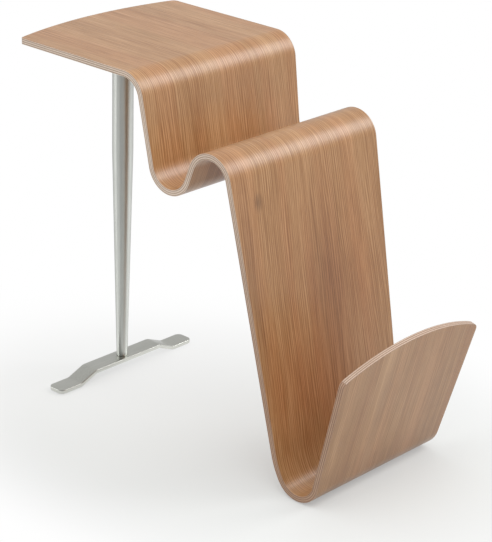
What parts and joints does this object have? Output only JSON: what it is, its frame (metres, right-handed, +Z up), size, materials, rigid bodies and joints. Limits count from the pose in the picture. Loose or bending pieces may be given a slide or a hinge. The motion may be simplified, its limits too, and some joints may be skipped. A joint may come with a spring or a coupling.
{
  "type": "side table",
  "caption": "Side table moulded as one wave-bent plywood strip with a trough and a magazine pocket, held up at its free end by a tapered metal leg on a flat foot bar.",
  "frame": {"origin": "on the floor, under the middle of the table's bounding box", "axes": "+X from the tabletop's free end and leg towards the magazine pocket, +Y across the strip, +Z up; the XZ plane is the table's plane of symmetry"},
  "size_m": [0.6546, 0.3146, 0.5562],
  "materials": {
    "oak_face_veneer": "satin lacquered oak veneer, fine straight grain along the strip",
    "core_ply": "sanded and lacquered ply edges",
    "satin_metal": "satin aluminium",
    "steel_fixings": "zinc-plated steel",
    "nylon_glide": "dark matt nylon"
  },
  "bodies": {
    "root": {"upper_face_veneer": "oak_face_veneer", "core_ply_1": "core_ply", "core_ply_2": "core_ply", "core_ply_3": "core_ply", "core_ply_4": "core_ply", "core_ply_5": "core_ply", "lower_face_veneer": "oak_face_veneer", "leg_mounting_plate": "steel_fixings", "plate_wood_screws": "steel_fixings", "leg": "satin_metal", "leg_plugs": "steel_fixings", "leg_screws": "steel_fixings", "foot_bar": "satin_metal", "foot_glides": "nylon_glide", "strip_glides": "nylon_glide"}
  },
  "joints": []
}
